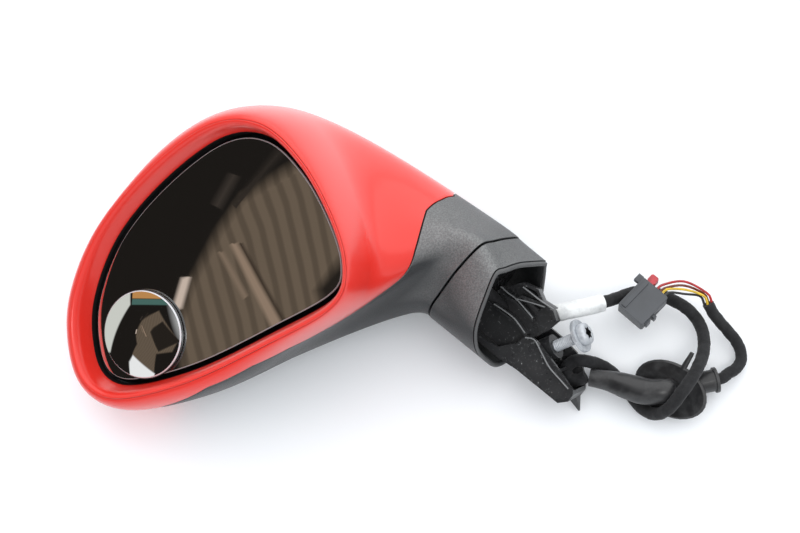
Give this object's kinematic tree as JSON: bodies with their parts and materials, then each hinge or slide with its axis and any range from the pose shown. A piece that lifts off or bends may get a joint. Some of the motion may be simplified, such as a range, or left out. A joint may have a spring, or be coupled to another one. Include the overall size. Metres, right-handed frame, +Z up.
{
  "type": "car door mirror",
  "caption": "Folding car door mirror with a tilting glass, a stick-on blind-spot mirror, a bolted foot and a wiring loop with a plug.",
  "frame": {"origin": "middle of the bottom of the mirror's box, on the surface it lies on, the wiring left out", "axes": "+X along the mirror's length, from the head towards the foot; +Z up from the surface it lies on"},
  "size_m": [0.4563, 0.2084, 0.1549],
  "materials": {
    "adhesive_foam": "foam",
    "black_rubber": "moulded",
    "black_wire": "wire insulation",
    "brown_wire": "wire insulation",
    "cloth_tape": "matte wrap",
    "connector_plastic": "moulded",
    "filled_black_plastic": "semi-gloss moulded",
    "grained_black_plastic": "fine grain",
    "grey_seal_rubber": "matte",
    "heater_film": "film",
    "inner_plastic": "moulded",
    "mirror_glass": "polished",
    "natural_plastic": "undyed moulded",
    "red_lock_plastic": "moulded",
    "red_paint": "gloss paint on moulded plastic",
    "red_wire": "wire insulation",
    "spring_steel": "dark",
    "white_paper": "laminated paper",
    "yellow_wire": "wire insulation",
    "zinc_plated_steel": "dull zinc plate"
  },
  "bodies": {
    "foot": {"foot_sleeve": "grained_black_plastic", "sleeve_edge_seal": "grey_seal_rubber", "mounting_bracket": "filled_black_plastic", "mounting_bolt": "zinc_plated_steel", "bolt_washer": "zinc_plated_steel", "pivot_post": "zinc_plated_steel", "spring_retainer": "spring_steel", "detent_spring": "spring_steel", "harness_cable": "cloth_tape", "blank_label": "white_paper", "rubber_conduit": "black_rubber", "grommet": "black_rubber", "tail_cable": "cloth_tape", "wire_red": "red_wire", "wire_black": "black_wire", "wire_yellow": "yellow_wire", "wire_brown": "brown_wire", "connector_body": "connector_plastic", "connector_latch": "connector_plastic"},
    "head": {"rear_cover": "red_paint", "bezel_ring": "red_paint", "neck_lower_shell": "grained_black_plastic", "inner_frame": "inner_plastic", "fold_motor": "inner_plastic", "actuator_case": "natural_plastic", "actuator_cover": "natural_plastic"},
    "tilt_cross": {"tilt_ball": "natural_plastic"},
    "glass": {"mirror_glass": "mirror_glass", "heater_pad": "heater_film", "glass_backing_plate": "inner_plastic", "blind_spot_pad": "adhesive_foam", "blind_spot_housing": "grained_black_plastic", "blind_spot_glass": "mirror_glass"},
    "vertical_plunger": {"vertical_plunger": "natural_plastic"},
    "horizontal_plunger": {"horizontal_plunger": "natural_plastic"},
    "plug_lock": {"connector_lock": "red_lock_plastic"}
  },
  "joints": [
    {"name": "head_fold", "type": "hinge", "parent": "foot", "child": "head", "pos_m": [0.09851, -0.01337, 0.04258], "axis": [0.6096, -0.7926, -0.0109], "range_deg": [-60, 60]},
    {"name": "glass_tilt_up_down", "type": "hinge", "parent": "head", "child": "tilt_cross", "pos_m": [-0.07381, -0.00776, 0.07927], "axis": [0.8987, 0.1993, 0.3907], "range_deg": [-8, 8]},
    {"name": "glass_tilt_left_right", "type": "hinge", "parent": "tilt_cross", "child": "glass", "pos_m": [-0.07381, -0.00776, 0.07927], "axis": [-0.3194, 0.9079, 0.2715], "range_deg": [-8, 8]},
    {"name": "vertical_plunger_slide", "type": "slide", "parent": "head", "child": "vertical_plunger", "axis": [0.3006, 0.3688, -0.8795], "range_m": [-0.0032, 0.0032]},
    {"name": "horizontal_plunger_slide", "type": "slide", "parent": "head", "child": "horizontal_plunger", "axis": [0.3006, 0.3688, -0.8795], "range_m": [-0.0032, 0.0032]},
    {"name": "plug_lock_slide", "type": "slide", "parent": "foot", "child": "plug_lock", "axis": [0.7031, 0.7111, 0], "range_m": [0, 0.003]}
  ],
  "couplings": [
    {"joint": "vertical_plunger_slide", "follows": "glass_tilt_up_down", "m_per_rad": 0.02204},
    {"joint": "horizontal_plunger_slide", "follows": "glass_tilt_left_right", "m_per_rad": -0.02204}
  ]
}
